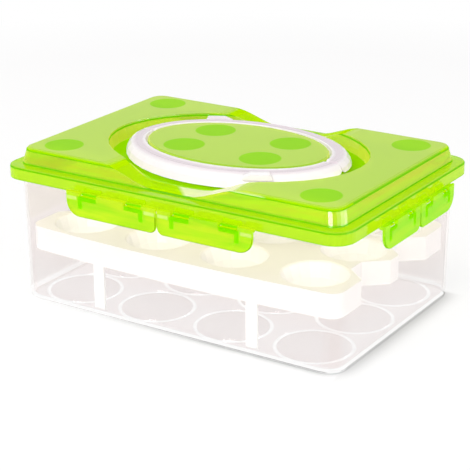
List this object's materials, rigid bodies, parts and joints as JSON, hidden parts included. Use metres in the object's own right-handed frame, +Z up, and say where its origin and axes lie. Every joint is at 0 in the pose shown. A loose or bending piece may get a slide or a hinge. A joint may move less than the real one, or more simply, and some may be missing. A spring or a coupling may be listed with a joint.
{
  "type": "egg box",
  "caption": "Rectangular two-deck egg box with a clear base, a lifting egg tray on legs, a latched lid and a pair of folding half-oval handles lying in an oval ditch.",
  "frame": {"origin": "on the ground under the middle of the box", "axes": "+X along the long side to the right, +Y to the back, +Z up"},
  "size_m": [0.2724, 0.1892, 0.108],
  "materials": {
    "clear_plastic": "clear moulded plastic with a faint warm grey tint",
    "white_plastic": "white moulded plastic, satin",
    "green_plastic": "see-through lime green moulded plastic with darker round dots",
    "handle_plastic": "white moulded plastic, soft gloss",
    "latch_plastic": "see-through lime green moulded plastic, glossy"
  },
  "bodies": {
    "base": {"base_box": "clear_plastic"},
    "tray": {"egg_tray": "white_plastic"},
    "lid": {"lid": "green_plastic"},
    "handle_back": {"handle_back": "handle_plastic"},
    "handle_front": {"handle_front": "handle_plastic"},
    "latch_front_left": {"latch_front_left": "latch_plastic"},
    "latch_front_right": {"latch_front_right": "latch_plastic"},
    "latch_right_front": {"latch_right_front": "latch_plastic"},
    "latch_right_back": {"latch_right_back": "latch_plastic"},
    "latch_back_right": {"latch_back_right": "latch_plastic"},
    "latch_back_left": {"latch_back_left": "latch_plastic"},
    "latch_left_back": {"latch_left_back": "latch_plastic"},
    "latch_left_front": {"latch_left_front": "latch_plastic"}
  },
  "joints": [
    {"name": "lid_lift", "type": "slide", "parent": "base", "child": "lid", "axis": [0, 0, 1], "range_m": [0, 0.2]},
    {"name": "tray_lift", "type": "slide", "parent": "base", "child": "tray", "axis": [0, 0, 1], "range_m": [0, 0.1]},
    {"name": "handle_back_fold", "type": "hinge", "parent": "lid", "child": "handle_back", "pos_m": [0, 0.0036, 0.1036], "axis": [1, 0, 0], "range_deg": [0, 90]},
    {"name": "handle_front_fold", "type": "hinge", "parent": "lid", "child": "handle_front", "pos_m": [0, -0.0036, 0.1036], "axis": [-1, 0, 0], "range_deg": [0, 90]},
    {"name": "latch_front_left_flip", "type": "hinge", "parent": "lid", "child": "latch_front_left", "pos_m": [-0.0357, -0.0913, 0.088], "axis": [-1, 0, 0], "range_deg": [0, 100]},
    {"name": "latch_front_right_flip", "type": "hinge", "parent": "lid", "child": "latch_front_right", "pos_m": [0.0357, -0.0913, 0.088], "axis": [-1, 0, 0], "range_deg": [0, 100]},
    {"name": "latch_right_front_flip", "type": "hinge", "parent": "lid", "child": "latch_right_front", "pos_m": [0.1329, -0.0246, 0.088], "axis": [0, -1, 0], "range_deg": [0, 100]},
    {"name": "latch_right_back_flip", "type": "hinge", "parent": "lid", "child": "latch_right_back", "pos_m": [0.1329, 0.0246, 0.088], "axis": [0, -1, 0], "range_deg": [0, 100]},
    {"name": "latch_back_right_flip", "type": "hinge", "parent": "lid", "child": "latch_back_right", "pos_m": [0.0357, 0.0913, 0.088], "axis": [1, 0, 0], "range_deg": [0, 100]},
    {"name": "latch_back_left_flip", "type": "hinge", "parent": "lid", "child": "latch_back_left", "pos_m": [-0.0357, 0.0913, 0.088], "axis": [1, 0, 0], "range_deg": [0, 100]},
    {"name": "latch_left_back_flip", "type": "hinge", "parent": "lid", "child": "latch_left_back", "pos_m": [-0.1329, 0.0246, 0.088], "axis": [0, 1, 0], "range_deg": [0, 100]},
    {"name": "latch_left_front_flip", "type": "hinge", "parent": "lid", "child": "latch_left_front", "pos_m": [-0.1329, -0.0246, 0.088], "axis": [0, 1, 0], "range_deg": [0, 100]}
  ],
  "couplings": [
    {"joint": "tray_lift", "follows": "lid_lift", "ratio": 0.5}
  ]
}
